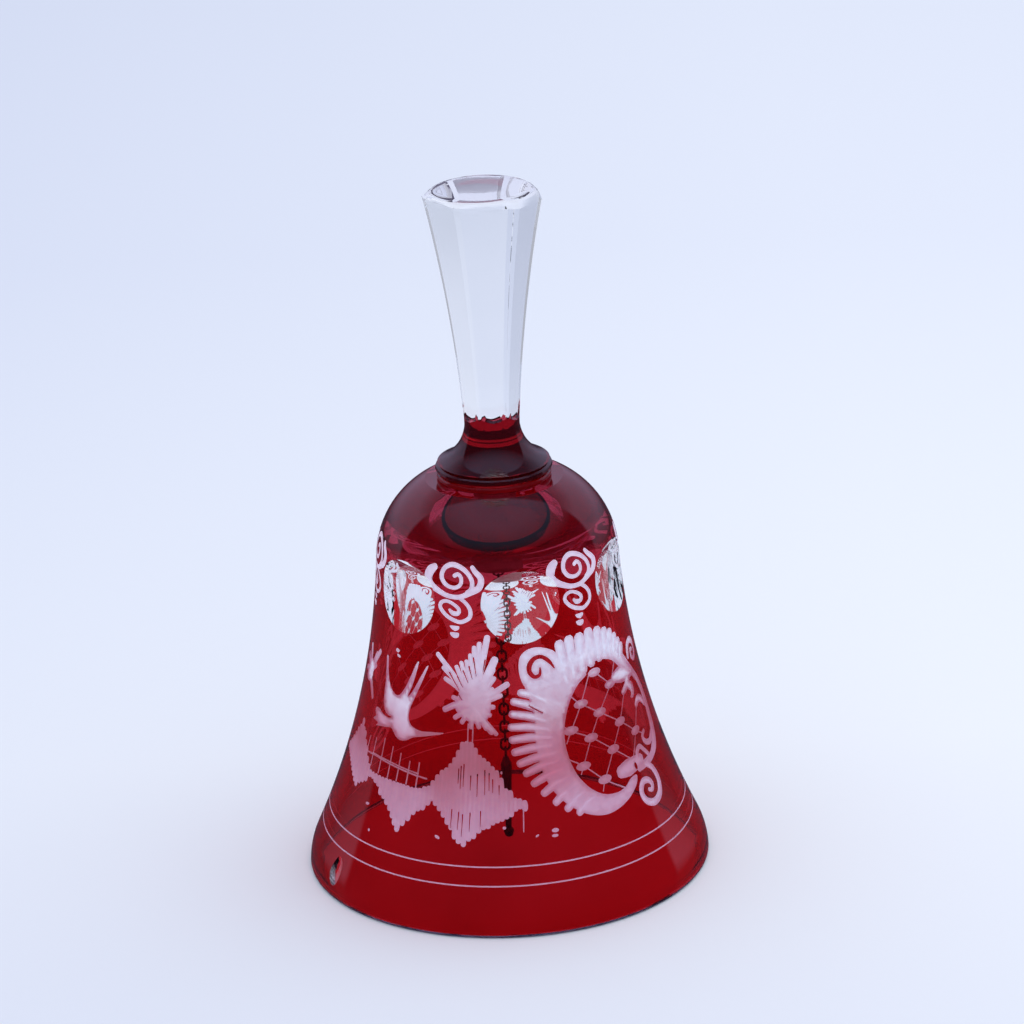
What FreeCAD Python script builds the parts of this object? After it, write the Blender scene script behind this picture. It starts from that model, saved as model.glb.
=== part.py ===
"""Ruby glass hand bell with a clear faceted handle and a clapper on a fine wire chain.

Millimetres, +Z up.  The origin is the centre of the rim circle, on the surface that
the bell stands on, and the front of the bell faces -Y.
"""
import FreeCAD, Part
import math
import os
import re

import Sketcher

App = FreeCAD
V = App.Vector

OUT = "parts"
os.makedirs(OUT, exist_ok=True)

doc = App.newDocument("glass_bell")

# ---------------------------------------------------------------- driving dimensions
SIZES = {
    # outer skin of the cup: lip, flare and shoulder are three tangent arcs
    "rim_radius": 42.0,
    "lip_arc": 15.0,
    "lip_height": 6.3,
    "flare_arc": 173.0,
    "flare_height": 68.4,
    "shoulder_arc": 19.4,
    "crown_height": 84.6,
    # inner skin of the cup
    "wall": 2.6,
    "cavity_height": 77.5,
    "dome_arc": 40.0,
    "dome_corner": 7.0,
    "rim_round": 0.7,
    # the six round lens cuts
    "window_count": 6,
    "window_height": 65.0,
    "window_turn": 10.0,
    "window_depth": 1.35,
    "window_wall_radius": 25.2,
    "wheel_radius": 23.5,
    "wheel_tilt": 6.5,
    "wheel_width": 24.0,
    # the two fine rings cut round the flare
    "ring_groove": 0.3,
    "upper_ring_height": 13.8,
    "upper_ring_radius": 37.35,
    "lower_ring_height": 10.2,
    "lower_ring_radius": 38.85,
    # disc of glass between the cup and the stem
    "disc_radius": 11.3,
    "disc_height": 1.3,
    "disc_edge": 0.7,
    # stem and grip
    "collar_radius": 11.2,
    "collar_height": 2.0,
    "collar_edge": 1.05,
    "neck_radius": 5.6,
    "neck_height": 96.5,
    "neck_arc": 9.0,
    "core_inset": 1.2,
    "core_overlap": 2.0,
    "grip_base_height": 96.0,
    "grip_base_radius": 5.75,
    "grip_middle_height": 120.0,
    "grip_middle_radius": 8.15,
    "grip_top_height": 143.6,
    "grip_top_radius": 12.3,
    "bevel_radius": 11.2,
    "overall_height": 145.5,
    "grip_turn": 4.0,
    # cement bead and the wire staple set in it
    "bead_radius": 4.8,
    "bead_drop": 68.8,
    "bead_shoulder": 1.6,
    "bead_flat": 2.2,
    "bead_arc": 3.0,
    # wire, chain and clapper
    "wire_radius": 0.25,
    "loop_radius": 0.9,
    "link_straight": 0.75,
    "link_seam": 0.12,
    "chain_pitch": 2.0,
    "link_count": 22,
    "first_pivot": 67.5,
    "staple_leg": 2.7,
    "clapper_head_radius": 1.15,
    "clapper_head_height": 1.6,
    "clapper_waist_radius": 0.6,
    "clapper_tip_radius": 0.95,
    "clapper_top": 21.9,
    "clapper_bottom": 3.4,
    "clapper_taper_end": 5.6,
    "eye_shank": 2.4,
}

sheet = doc.addObject("Spreadsheet::Sheet", "sizes")
for row, (word, value) in enumerate(SIZES.items(), start=1):
    sheet.set(f"A{row}", word)
    sheet.set(f"B{row}", str(value))
    sheet.setAlias(f"B{row}", word)
doc.recompute()


def size(expression):
    """The value of an expression written with the sheet's words."""
    value = sheet.evalExpression(expression)
    return float(getattr(value, "Value", value))


def bind(target, prop, expression):
    """Bind a property to an expression written with the sheet's words."""

    def cell(match):
        word = match.group()
        return "sizes." + word if word in SIZES else word

    target.setExpression(prop, re.sub(r"[a-z_]+", cell, expression))


# ---------------------------------------------------------------- sketch helpers
def datum(body, role):
    """One of a body's own origin planes or axes."""
    return next(f for f in body.Origin.OriginFeatures if f.Role == role)


def new_sketch(body, role, name):
    sketch = body.newObject("Sketcher::SketchObject", name)
    sketch.AttachmentSupport = [(datum(body, role), "")]
    sketch.MapMode = "FlatFace"
    return sketch


def constrain(sketch, expression, kind, *where):
    """Add a dimension whose value is an expression of the sheet's words."""
    index = sketch.addConstraint(Sketcher.Constraint(kind, *where, size(expression)))
    bind(sketch, f"Constraints[{index}]", expression)


def place_point(sketch, geometry, end, across, up):
    """Fix one end of a sketch edge at (across, up); a zero puts it on an axis."""
    if across == "0":
        sketch.addConstraint(Sketcher.Constraint("PointOnObject", geometry, end, -2))
    else:
        constrain(sketch, across, "DistanceX", -1, 1, geometry, end)
    if up == "0":
        sketch.addConstraint(Sketcher.Constraint("PointOnObject", geometry, end, -1))
    else:
        constrain(sketch, up, "DistanceY", -1, 1, geometry, end)


def bulged_arc(start, end, radius, side):
    """Arc from start to end, and the numbers of its two ends in that order.

    Side 1 puts the centre on the left of the way there, side -1 on the right.  A
    sketch keeps every arc anticlockwise, so a right-hand arc starts at its end 2.
    """
    chord = end - start
    half = chord.Length / 2
    left = V(-chord.y, chord.x, 0).normalize()
    offset = math.sqrt(max(radius**2 - half**2, 0.0))
    centre = (start + end) / 2 + left * (offset * side)
    circle = Part.Circle(centre, V(0, 0, 1), radius)
    turns = [math.atan2(p.y - centre.y, p.x - centre.x) for p in (start, end)]
    if side > 0:
        return Part.ArcOfCircle(circle, turns[0], turns[1]), (1, 2)
    return Part.ArcOfCircle(circle, turns[1], turns[0]), (2, 1)


def outline_sketch(sketch, corners):
    """Closed outline of (across, up, arc radius or None, side) corners.

    Each corner's arc radius and side describe the edge that leaves it.
    """
    points = [V(size(c[0]), size(c[1]), 0) for c in corners]
    edges = []
    for number, corner in enumerate(corners):
        start, end = points[number], points[(number + 1) % len(points)]
        if corner[2] is None:
            index = sketch.addGeometry(Part.LineSegment(start, end), False)
            edges.append((index, 1, 2))
        else:
            arc, ends = bulged_arc(start, end, size(corner[2]), corner[3])
            index = sketch.addGeometry(arc, False)
            edges.append((index, *ends))
    for number, (index, _, last) in enumerate(edges):
        following, first, _ = edges[(number + 1) % len(edges)]
        sketch.addConstraint(Sketcher.Constraint("Coincident", index, last, following, first))
    for number, corner in enumerate(corners):
        index, first, _ = edges[number]
        place_point(sketch, index, first, corner[0], corner[1])
        if corner[2] is not None:
            constrain(sketch, corner[2], "Radius", index)


def revolve(body, sketch, name):
    turned = body.newObject("PartDesign::Revolution", name)
    turned.Profile = sketch
    turned.ReferenceAxis = (sketch, ["V_Axis"])
    turned.Angle = 360.0
    sketch.Visibility = False
    doc.recompute()
    return turned


def turned_body(name, corners, role="XZ_Plane"):
    """A body turned about Z from a closed outline in one of its upright planes."""
    body = doc.addObject("PartDesign::Body", name)
    body.Label = name
    sketch = new_sketch(body, role, name + "_outline")
    outline_sketch(sketch, corners)
    revolve(body, sketch, name + "_turned")
    return body


# ---------------------------------------------------------------- the cup
def wall_arcs(sketch, inset):
    """Lip, flare and shoulder arcs of one skin; inset 0 is the outer skin.

    Returns the three edge numbers.  The skins share their arcs' centres, so the wall
    is equally thick everywhere up to the shoulder.
    """
    rim, lip, lip_z = size("rim_radius"), size("lip_arc"), size("lip_height")
    flare, flare_z = size("flare_arc"), size("flare_height")
    shoulder = size("shoulder_arc")
    lip_centre = V(rim - lip, 0, 0)
    lip_turn = math.asin(lip_z / lip)
    outward = V(math.cos(lip_turn), math.sin(lip_turn), 0)
    flare_centre = lip_centre + outward * (lip + flare)
    flare_turn = math.asin((flare_centre.y - flare_z) / flare)
    inward = V(math.cos(flare_turn), math.sin(flare_turn), 0)
    shoulder_centre = flare_centre - inward * (flare + shoulder)
    # where the shoulder arcs end before the solver trims them to the crown and dome
    top_turn = math.radians(30 if inset else 62)

    def arc(centre, radius, first, last):
        return Part.ArcOfCircle(Part.Circle(centre, V(0, 0, 1), radius), first, last)

    lip_edge = sketch.addGeometry(arc(lip_centre, lip - inset, 0, lip_turn), False)
    flare_edge = sketch.addGeometry(
        arc(flare_centre, flare + inset, math.pi + flare_turn, math.pi + lip_turn), False
    )
    shoulder_edge = sketch.addGeometry(
        arc(shoulder_centre, shoulder - inset, flare_turn, top_turn), False
    )
    return lip_edge, flare_edge, shoulder_edge


def cup_profile(body):
    """Half section of the cup: outer skin, crown, inner skin and the flat of the rim."""
    sketch = new_sketch(body, "XZ_Plane", "cup_profile")
    wall = size("wall")
    lip, flare, shoulder = wall_arcs(sketch, 0)
    lip_in, flare_in, corner_in = wall_arcs(sketch, wall)
    crown_start = sketch.Geometry[shoulder].EndPoint
    crown = sketch.addGeometry(Part.LineSegment(crown_start, V(0, crown_start.y, 0)), False)
    top = V(0, size("cavity_height"), 0)
    core = sketch.addGeometry(Part.LineSegment(V(0, crown_start.y, 0), top), False)
    dome_centre = V(0, size("cavity_height - dome_arc"), 0)
    dome_circle = Part.Circle(dome_centre, V(0, 0, 1), size("dome_arc"))
    apex = math.pi / 2
    dome_sweep = math.radians(23)
    dome = sketch.addGeometry(Part.ArcOfCircle(dome_circle, apex - dome_sweep, apex), False)
    rim_in = sketch.Geometry[lip_in].StartPoint
    rim_out = sketch.Geometry[lip].StartPoint
    flat = sketch.addGeometry(Part.LineSegment(rim_in, rim_out), False)

    def add(*rule):
        sketch.addConstraint(Sketcher.Constraint(*rule))

    # outer skin
    add("PointOnObject", lip, 3, -1)
    add("PointOnObject", lip, 1, -1)
    constrain(sketch, "rim_radius", "DistanceX", -1, 1, lip, 1)
    constrain(sketch, "lip_arc", "Radius", lip)
    add("Tangent", lip, 2, flare, 2)
    constrain(sketch, "lip_height", "DistanceY", -1, 1, lip, 2)
    constrain(sketch, "flare_arc", "Radius", flare)
    add("Tangent", flare, 1, shoulder, 1)
    constrain(sketch, "flare_height", "DistanceY", -1, 1, flare, 1)
    constrain(sketch, "shoulder_arc", "Radius", shoulder)
    constrain(sketch, "crown_height", "DistanceY", -1, 1, shoulder, 2)
    # crown and core
    add("Coincident", shoulder, 2, crown, 1)
    add("Horizontal", crown)
    add("PointOnObject", crown, 2, -2)
    add("Coincident", crown, 2, core, 1)
    add("PointOnObject", core, 2, -2)
    constrain(sketch, "cavity_height", "DistanceY", -1, 1, core, 2)
    # inner skin
    add("Coincident", lip_in, 3, lip, 3)
    add("PointOnObject", lip_in, 1, -1)
    constrain(sketch, "lip_arc - wall", "Radius", lip_in)
    add("Tangent", lip_in, 2, flare_in, 2)
    add("Coincident", flare_in, 3, flare, 3)
    add("Tangent", flare_in, 1, corner_in, 1)
    constrain(sketch, "dome_corner", "Radius", corner_in)
    add("Tangent", corner_in, 2, dome, 1)
    add("Coincident", dome, 2, core, 2)
    add("PointOnObject", dome, 3, -2)
    constrain(sketch, "dome_arc", "Radius", dome)
    # flat of the rim
    add("Coincident", flat, 1, lip_in, 1)
    add("Coincident", flat, 2, lip, 1)
    return sketch


def rim_edges(shape):
    """Names of the two circles that bound the flat of the rim."""
    return [
        f"Edge{number}"
        for number, edge in enumerate(shape.Edges, start=1)
        if abs(edge.BoundBox.ZMin) < 1e-6 and abs(edge.BoundBox.ZMax) < 1e-6
    ]


def ring_groove(body, which):
    """A fine rounded groove round the flare at one of the two ring heights."""
    sketch = new_sketch(body, "XZ_Plane", which + "_ring_section")
    centre = V(size(which + "_ring_radius"), size(which + "_ring_height"), 0)
    radius = size("ring_groove")
    index = sketch.addGeometry(Part.Circle(centre, V(0, 0, 1), radius), False)
    place_point(sketch, index, 3, which + "_ring_radius", which + "_ring_height")
    constrain(sketch, "ring_groove", "Radius", index)
    groove = body.newObject("PartDesign::Groove", which + "_ring")
    groove.Profile = sketch
    groove.ReferenceAxis = (sketch, ["V_Axis"])
    groove.Angle = 360.0
    sketch.Visibility = False
    doc.recompute()


def window_cuts(body):
    """Six round lens cuts, ground by a wheel whose axle lies level across the wall."""
    reach = "(wheel_radius - window_depth)"
    across = f"window_wall_radius + {reach} * cos(wheel_tilt * 1deg)"
    up = f"window_height + {reach} * sin(wheel_tilt * 1deg)"
    sketch = new_sketch(body, "YZ_Plane", "wheel_section")
    centre = V(-size(across), size(up), 0)
    index = sketch.addGeometry(Part.Circle(centre, V(0, 0, 1), size("wheel_radius")), False)
    constrain(sketch, across, "DistanceX", index, 3, -1, 1)
    constrain(sketch, up, "DistanceY", -1, 1, index, 3)
    constrain(sketch, "wheel_radius", "Radius", index)
    turn = App.Rotation(V(0, 1, 0), size("window_turn"))
    sketch.AttachmentOffset = App.Placement(V(0, 0, 0), turn)
    doc.recompute()
    pocket = body.newObject("PartDesign::Pocket", "window")
    pocket.Profile = sketch
    pocket.Midplane = True
    bind(pocket, "Length", "wheel_width")
    sketch.Visibility = False
    doc.recompute()
    pattern = body.newObject("PartDesign::PolarPattern", "windows")
    pattern.Originals = [pocket]
    pattern.Axis = (datum(body, "Z_Axis"), [""])
    pattern.Angle = 360.0
    bind(pattern, "Occurrences", "window_count")
    body.Tip = pattern
    doc.recompute()


def make_cup():
    body = doc.addObject("PartDesign::Body", "bell_cup")
    body.Label = "bell_cup"
    sketch = cup_profile(body)
    doc.recompute()
    solid = revolve(body, sketch, "cup_turned")
    rim = body.newObject("PartDesign::Fillet", "rim_rounding")
    rim.Base = (solid, rim_edges(solid.Shape))
    bind(rim, "Radius", "rim_round")
    doc.recompute()
    ring_groove(body, "upper")
    ring_groove(body, "lower")
    before = body.Shape.Volume
    window_cuts(body)
    print(f"windows remove {before - body.Shape.Volume:.0f} cubic millimetres")
    return body


# ---------------------------------------------------------------- glass above the cup
def make_disc():
    """The thin disc of glass between the crown and the stem."""
    top = "crown_height + disc_height"
    return turned_body(
        "stem_disc",
        [
            ("0", "crown_height", None, 0),
            ("disc_radius", "crown_height", "disc_edge", 1),
            ("disc_radius", top, None, 0),
            ("0", top, None, 0),
        ],
    )


def polygon_sketch(body, name, radius, height):
    """A level hexagon, one flat facing the front apart from the grip's small turn."""
    sketch = new_sketch(body, "XY_Plane", name)
    sides = 6
    corners = [
        V(size(radius) * math.sin(a), -size(radius) * math.cos(a), 0)
        for a in (math.radians(size("grip_turn") + 30 + 60 * k) for k in range(sides))
    ]
    guide = sketch.addGeometry(Part.Circle(V(0, 0, 0), V(0, 0, 1), size(radius)), True)
    sketch.addConstraint(Sketcher.Constraint("Coincident", guide, 3, -1, 1))
    constrain(sketch, radius, "Radius", guide)
    lines = [
        sketch.addGeometry(Part.LineSegment(corners[k], corners[(k + 1) % sides]), False)
        for k in range(sides)
    ]
    for k, line in enumerate(lines):
        following = lines[(k + 1) % sides]
        sketch.addConstraint(Sketcher.Constraint("Coincident", line, 2, following, 1))
        sketch.addConstraint(Sketcher.Constraint("PointOnObject", line, 1, guide))
        if k:
            sketch.addConstraint(Sketcher.Constraint("Equal", lines[0], line))
    constrain(sketch, "grip_turn * 1deg", "Angle", lines[-1])
    bind(sketch, "AttachmentOffset.Base.z", height)
    sketch.Visibility = False
    doc.recompute()
    return sketch


def make_handle():
    """Solid glass: a collar and neck turned in one piece with a six-sided grip."""
    foot = "crown_height + disc_height"
    body = turned_body(
        "handle",
        [
            ("0", foot, None, 0),
            ("collar_radius", foot, "collar_edge", 1),
            ("collar_radius", f"{foot} + collar_height", "neck_arc", -1),
            ("neck_radius", "neck_height", None, 0),
            ("neck_radius - core_inset", "neck_height + core_overlap", None, 0),
            ("0", "neck_height + core_overlap", None, 0),
        ],
    )
    levels = [
        ("grip_foot", "grip_base_radius", "grip_base_height"),
        ("grip_waist", "grip_middle_radius", "grip_middle_height"),
        ("grip_shoulder", "grip_top_radius", "grip_top_height"),
        ("grip_crown", "bevel_radius", "overall_height"),
    ]
    foot_ring, waist, shoulder, crown = [polygon_sketch(body, *level) for level in levels]
    # the six facets are slightly hollow along their length, the bevels are flat
    for name, lowest, above in (("grip", foot_ring, [waist, shoulder]), ("bevel", shoulder, [crown])):
        loft = body.newObject("PartDesign::AdditiveLoft", name)
        loft.Profile = lowest
        loft.Sections = above
        loft.Ruled = len(above) == 1
        doc.recompute()
    return body


# ---------------------------------------------------------------- wire work
def part_primitive(kind, name, places, base, rotation):
    """A Part primitive with its sizes bound and its place given by expressions."""
    item = doc.addObject("Part::" + kind, name)
    for prop, expression in places.items():
        bind(item, prop, expression)
    item.Placement = App.Placement(V(0, 0, 0), rotation)
    for axis, expression in zip("xyz", base):
        bind(item, f"Placement.Base.{axis}", expression)
    return item


def fused(name, pieces):
    joined = doc.addObject("Part::MultiFuse", name)
    joined.Label = name
    joined.Shapes = pieces
    joined.Refine = True
    return joined


def half_loop(name, height, turn, up):
    """Half a ring of wire in an upright plane turned about Z, opening down or up."""
    stand = App.Rotation(V(0, 0, 1), turn) * App.Rotation(V(1, 0, 0), 90 if up else -90)
    sizes = {"Radius1": "loop_radius", "Radius2": "wire_radius"}
    loop = part_primitive("Torus", name, sizes, ("0", "0", height), stand)
    loop.Angle3 = 180.0
    return loop


def wire_post(name, side, turn, low, length):
    """A straight upright wire one loop radius to one side of the axis."""
    angle = math.radians(turn)
    across = f"{side * math.cos(angle):.0f} * loop_radius"
    along = f"{side * math.sin(angle):.0f} * loop_radius"
    sizes = {"Radius": "wire_radius", "Height": length}
    return part_primitive("Cylinder", name, sizes, (across, along, low), App.Rotation())


def hanging_loop(number):
    """Height of the centre of the loop that hangs at a pivot, counted from the staple."""
    gap = "(2 * loop_radius + link_straight - 2 * wire_radius - chain_pitch)"
    return f"first_pivot - {number} * chain_pitch + 2 * wire_radius + {gap} - loop_radius"


def make_link(number):
    """One cable-chain link: two half loops, one whole side and one with its seam."""
    name = f"chain_link_{number:02d}"
    turn = 90 if number % 2 else 0
    seam_side = 1 if number % 4 < 2 else -1
    top = hanging_loop(number - 1)
    low = f"{top} - link_straight"
    stub = "(link_straight - link_seam) / 2"
    pieces = [
        half_loop(name + "_top", top, turn, True),
        half_loop(name + "_bottom", low, turn, False),
        wire_post(name + "_side", -seam_side, turn, low, "link_straight"),
        wire_post(name + "_end_a", seam_side, turn, low, stub),
        wire_post(name + "_end_b", seam_side, turn, f"{top} - {stub}", stub),
    ]
    return fused(name, pieces)


def make_staple():
    """A wire staple: the chain hangs in its bend and its two legs are in the cement."""
    bend = "first_pivot + loop_radius"
    pieces = [half_loop("staple_bend", bend, 0, False)]
    for side in (-1, 1):
        leg = f"staple_leg_{'left' if side < 0 else 'right'}"
        pieces.append(wire_post(leg, side, 0, bend, "staple_leg"))
    return fused("chain_staple", pieces)


def make_bead(staple):
    """The cement bead that fills the top of the cavity round the staple's legs.

    It is turned from the YZ plane, which keeps its seam clear of the legs.
    """
    dome = "cavity_height - dome_arc + sqrt(dome_arc^2 - bead_radius^2)"
    body = turned_body(
        "cement_body",
        [
            ("0", "bead_drop", None, 0),
            ("bead_flat", "bead_drop", "bead_arc", 1),
            ("bead_radius", "bead_drop + bead_shoulder", None, 0),
            ("bead_radius", dome, "dome_arc", 1),
            ("0", "cavity_height", None, 0),
        ],
        "YZ_Plane",
    )
    bead = doc.addObject("Part::Cut", "cement_bead")
    bead.Label = "cement_bead"
    bead.Base = body
    bead.Tool = staple
    return bead


def make_clapper():
    """A slim turned pendulum, bored at the top for the shank of its wire eye."""
    shoulder = "clapper_top - clapper_head_height"
    body = turned_body(
        "clapper_body",
        [
            ("0", "clapper_bottom", "clapper_tip_radius", 1),
            ("clapper_tip_radius", "clapper_bottom + clapper_tip_radius", "clapper_tip_radius", 1),
            ("clapper_waist_radius", "clapper_taper_end", None, 0),
            ("clapper_head_radius", shoulder, None, 0),
            ("wire_radius * 2", "clapper_top", None, 0),
            ("0", "clapper_top", None, 0),
        ],
    )
    eye_centre = hanging_loop("link_count")
    eye = part_primitive(
        "Torus",
        "eye_ring",
        {"Radius1": "loop_radius", "Radius2": "wire_radius"},
        ("0", "0", eye_centre),
        App.Rotation(V(0, 0, 1), 90) * App.Rotation(V(1, 0, 0), 90),
    )
    shank_length = f"{eye_centre} - loop_radius - clapper_top + eye_shank"
    shank = part_primitive(
        "Cylinder",
        "eye_shank",
        {"Radius": "wire_radius", "Height": shank_length},
        ("0", "0", "clapper_top - eye_shank"),
        App.Rotation(),
    )
    clapper_eye = fused("clapper_eye", [eye, shank])
    clapper = doc.addObject("Part::Cut", "clapper")
    clapper.Label = "clapper"
    clapper.Base = body
    clapper.Tool = clapper_eye
    return clapper, clapper_eye


# ---------------------------------------------------------------- build and export
staple = make_staple()
nodes = [make_cup(), make_disc(), make_handle(), make_bead(staple), staple]
nodes += [make_link(number) for number in range(1, int(size("link_count")) + 1)]
nodes += make_clapper()
doc.recompute()

for item in doc.Objects:
    if "Invalid" in item.State or "Error" in item.State:
        raise RuntimeError(f"{item.Name} did not build: {item.State} {item.getStatusString()}")
for node in nodes:
    shape = node.Shape
    if shape.isNull() or not shape.isValid() or not shape.Solids:
        raise RuntimeError(f"{node.Label} has no valid solid")
    shape.exportStep(os.path.join(OUT, node.Label + ".step"))
    box = shape.BoundBox
    print(f"{node.Label:16s} volume {shape.Volume:10.3f}  z {box.ZMin:8.3f} to {box.ZMax:8.3f}")
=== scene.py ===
import math

import bmesh
import bpy
import numpy as np
from mathutils import Matrix, Vector
from mathutils.geometry import delaunay_2d_cdt

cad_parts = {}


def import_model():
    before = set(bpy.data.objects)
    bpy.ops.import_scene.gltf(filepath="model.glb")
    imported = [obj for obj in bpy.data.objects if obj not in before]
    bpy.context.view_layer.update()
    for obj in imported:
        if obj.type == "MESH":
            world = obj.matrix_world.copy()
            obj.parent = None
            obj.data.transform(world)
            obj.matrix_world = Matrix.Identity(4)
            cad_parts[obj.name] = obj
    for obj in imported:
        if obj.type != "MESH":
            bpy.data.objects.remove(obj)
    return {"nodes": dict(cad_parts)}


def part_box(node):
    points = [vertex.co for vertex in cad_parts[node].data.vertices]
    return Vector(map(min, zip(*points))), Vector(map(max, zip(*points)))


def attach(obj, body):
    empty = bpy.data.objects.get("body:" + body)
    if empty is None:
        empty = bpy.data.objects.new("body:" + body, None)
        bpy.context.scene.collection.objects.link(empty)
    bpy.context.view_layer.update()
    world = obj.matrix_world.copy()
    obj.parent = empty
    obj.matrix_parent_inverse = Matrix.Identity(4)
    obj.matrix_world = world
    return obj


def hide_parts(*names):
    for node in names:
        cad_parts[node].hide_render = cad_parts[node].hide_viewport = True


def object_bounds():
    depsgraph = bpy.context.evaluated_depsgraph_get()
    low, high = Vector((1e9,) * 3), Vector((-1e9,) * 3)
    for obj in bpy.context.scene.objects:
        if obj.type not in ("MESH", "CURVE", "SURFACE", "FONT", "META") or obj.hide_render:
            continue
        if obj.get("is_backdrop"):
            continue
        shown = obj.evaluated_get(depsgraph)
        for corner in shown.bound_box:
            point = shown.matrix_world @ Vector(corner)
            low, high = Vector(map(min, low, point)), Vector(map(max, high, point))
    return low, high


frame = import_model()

CAD_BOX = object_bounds()
MM = 0.001
CUP_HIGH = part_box("bell_cup")[1]
DISC_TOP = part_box("stem_disc")[1].z / MM
GRIP_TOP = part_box("handle")[1].z / MM

# cup, outer and inner skin
RIM = CUP_HIGH.x / MM
CROWN = CUP_HIGH.z / MM
LIP_ARC, LIP_TOP = 15.0, 6.3
FLARE_ARC, FLARE_TOP = 173.0, 68.4
SHOULDER_ARC = 19.4
WALL = 2.6
CAVITY_TOP, DOME_ARC, DOME_CORNER = 77.5, 40.0, 7.0
RIM_ROUND = 0.7
BOND = 10.6

# the six lens cuts and the two rings
WINDOW_TURNS = [10 + 60 * k for k in range(6)]
WHEEL, WHEEL_DEPTH, WHEEL_TILT = 23.5, 1.35, math.radians(6.5)
WINDOW_Z, WINDOW_WALL = 65.0, 25.2
WINDOW_REACH = (22, 10)  # degrees and mm from the middle that the wheel can touch
RING_HEIGHTS = (13.8, 10.2)
RING_HALF = 0.13

# engraving
WIDE_END, FINE_END = np.radians([-60, -25, 25, 60]), np.radians([-45, 45])
SPIRAL_MIDDLE = (-21.5, 72.0)
RELIEF_FULL = 0.22  # depth in mm that counts as fully ground

# mesh density of the cup
COLUMN_STEP = 1.5
ROW_STEP = 1.2
BAND_LOW, BAND_HIGH = 1.5, 77.1
DOMAIN_START = -90.0
DOMAIN_SCALE = 0.53


# ------------------------ the cup's outline
def arc_centres():
    """Centres (radius, height) of the lip, flare and shoulder arcs, which are tangent."""
    lip = np.array([RIM - LIP_ARC, 0.0])
    turn = math.asin(LIP_TOP / LIP_ARC)
    flare = lip + (LIP_ARC + FLARE_ARC) * np.array([math.cos(turn), math.sin(turn)])
    turn = math.asin((flare[1] - FLARE_TOP) / FLARE_ARC)
    shoulder = flare - (FLARE_ARC + SHOULDER_ARC) * np.array([math.cos(turn), math.sin(turn)])
    return lip, flare, shoulder


LIP, FLARE, SHOULDER = arc_centres()


def outer_radius(z):
    """Radius of the outer skin at a height."""
    z = np.asarray(z, float)
    lip = LIP[0] + np.sqrt(np.maximum(LIP_ARC**2 - z**2, 0))
    flare = FLARE[0] - np.sqrt(FLARE_ARC**2 - (z - FLARE[1]) ** 2)
    shoulder = SHOULDER[0] + np.sqrt(np.maximum(SHOULDER_ARC**2 - (z - SHOULDER[1]) ** 2, 0))
    return np.where(z < LIP_TOP, lip, np.where(z < FLARE_TOP, flare, shoulder))


def outer_normal(z):
    """(radial, upward) parts of the outer skin's normal at a height."""
    z = np.asarray(z, float)
    r = outer_radius(z)
    lip = np.stack([r - LIP[0], z - LIP[1]], -1) / LIP_ARC
    flare = np.stack([FLARE[0] - r, FLARE[1] - z], -1) / FLARE_ARC
    shoulder = np.stack([r - SHOULDER[0], z - SHOULDER[1]], -1) / SHOULDER_ARC
    low, high = (z < LIP_TOP)[..., None], (z < FLARE_TOP)[..., None]
    return np.where(low, lip, np.where(high, flare, shoulder))


def degree_mm(z):
    """Millimetres along the skin for one degree round the bell."""
    return outer_radius(z) * math.pi / 180


def turned(theta, radial, z):
    """Points or directions from degrees, a radial part and an upward part."""
    t = np.radians(theta)
    return np.stack([radial * np.sin(t), -radial * np.cos(t), z + 0 * radial], -1)


# ------------------------ lens cuts
WHEEL_OUT = WINDOW_WALL + (WHEEL - WHEEL_DEPTH) * math.cos(WHEEL_TILT)
WHEEL_UP = WINDOW_Z + (WHEEL - WHEEL_DEPTH) * math.sin(WHEEL_TILT)


def wheel_radius_at(offset, z):
    """Radius of the ground surface, offset degrees from the middle of a lens cut."""
    drop = np.sqrt(np.maximum(WHEEL**2 - (z - WHEEL_UP) ** 2, 0))
    return (WHEEL_OUT - drop) / np.cos(np.radians(offset))


def window_ring(turn, count=72):
    """Outline of one lens cut, found along rays from its middle."""
    ring = []
    for a in np.linspace(0, 2 * math.pi, count, endpoint=False):
        near, far = 0.0, 14.0
        for _ in range(40):
            d = (near + far) / 2
            offset, z = d * math.cos(a) / degree_mm(WINDOW_Z), WINDOW_Z + d * math.sin(a)
            inside = wheel_radius_at(offset, z) < outer_radius(z)
            near, far = (d, far) if inside else (near, d)
        ring.append((turn + offset, z))
    return np.array(ring)


# ------------------------ engraving tools
class Cut:
    """One engraved mark: its outline, points inside it, how deep and which way it shows."""

    def __init__(self, kind, ring, inner=(), depth=0.2, slope=0.6):
        self.kind = kind
        area = np.sum(ring[:, 0] * np.roll(ring[:, 1], -1) - ring[:, 1] * np.roll(ring[:, 0], -1))
        self.ring = ring if area > 0 else ring[::-1]
        self.inner = np.asarray(inner, float).reshape(-1, 2)
        self.depth = depth
        self.slope = slope

    def moved(self, degrees):
        shift = np.array([degrees, 0.0])
        return Cut(self.kind, self.ring + shift, self.inner + shift, self.depth, self.slope)


def curve(points, gap=0.55, closed=False):
    """Smooth curve through points whose first two numbers are degrees and height."""
    p = np.array(points, float)
    ends = np.vstack([p[-1:], p, p[:2]] if closed else [p[:1], p, p[-1:]])
    out = []
    for a, b, c, d in zip(ends, ends[1:], ends[2:], ends[3:]):
        length = math.hypot((c[0] - b[0]) * float(degree_mm(b[1])), c[1] - b[1])
        steps = max(1, math.ceil(length / gap))
        for t in np.arange(steps) / steps:
            out.append(
                0.5 * (2 * b + (c - a) * t + (2 * a - 5 * b + 4 * c - d) * t**2
                       + (3 * b - a - 3 * c + d) * t**3)
            )
    if not closed:
        out.append(p[-1])
    return np.array(out)


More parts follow.
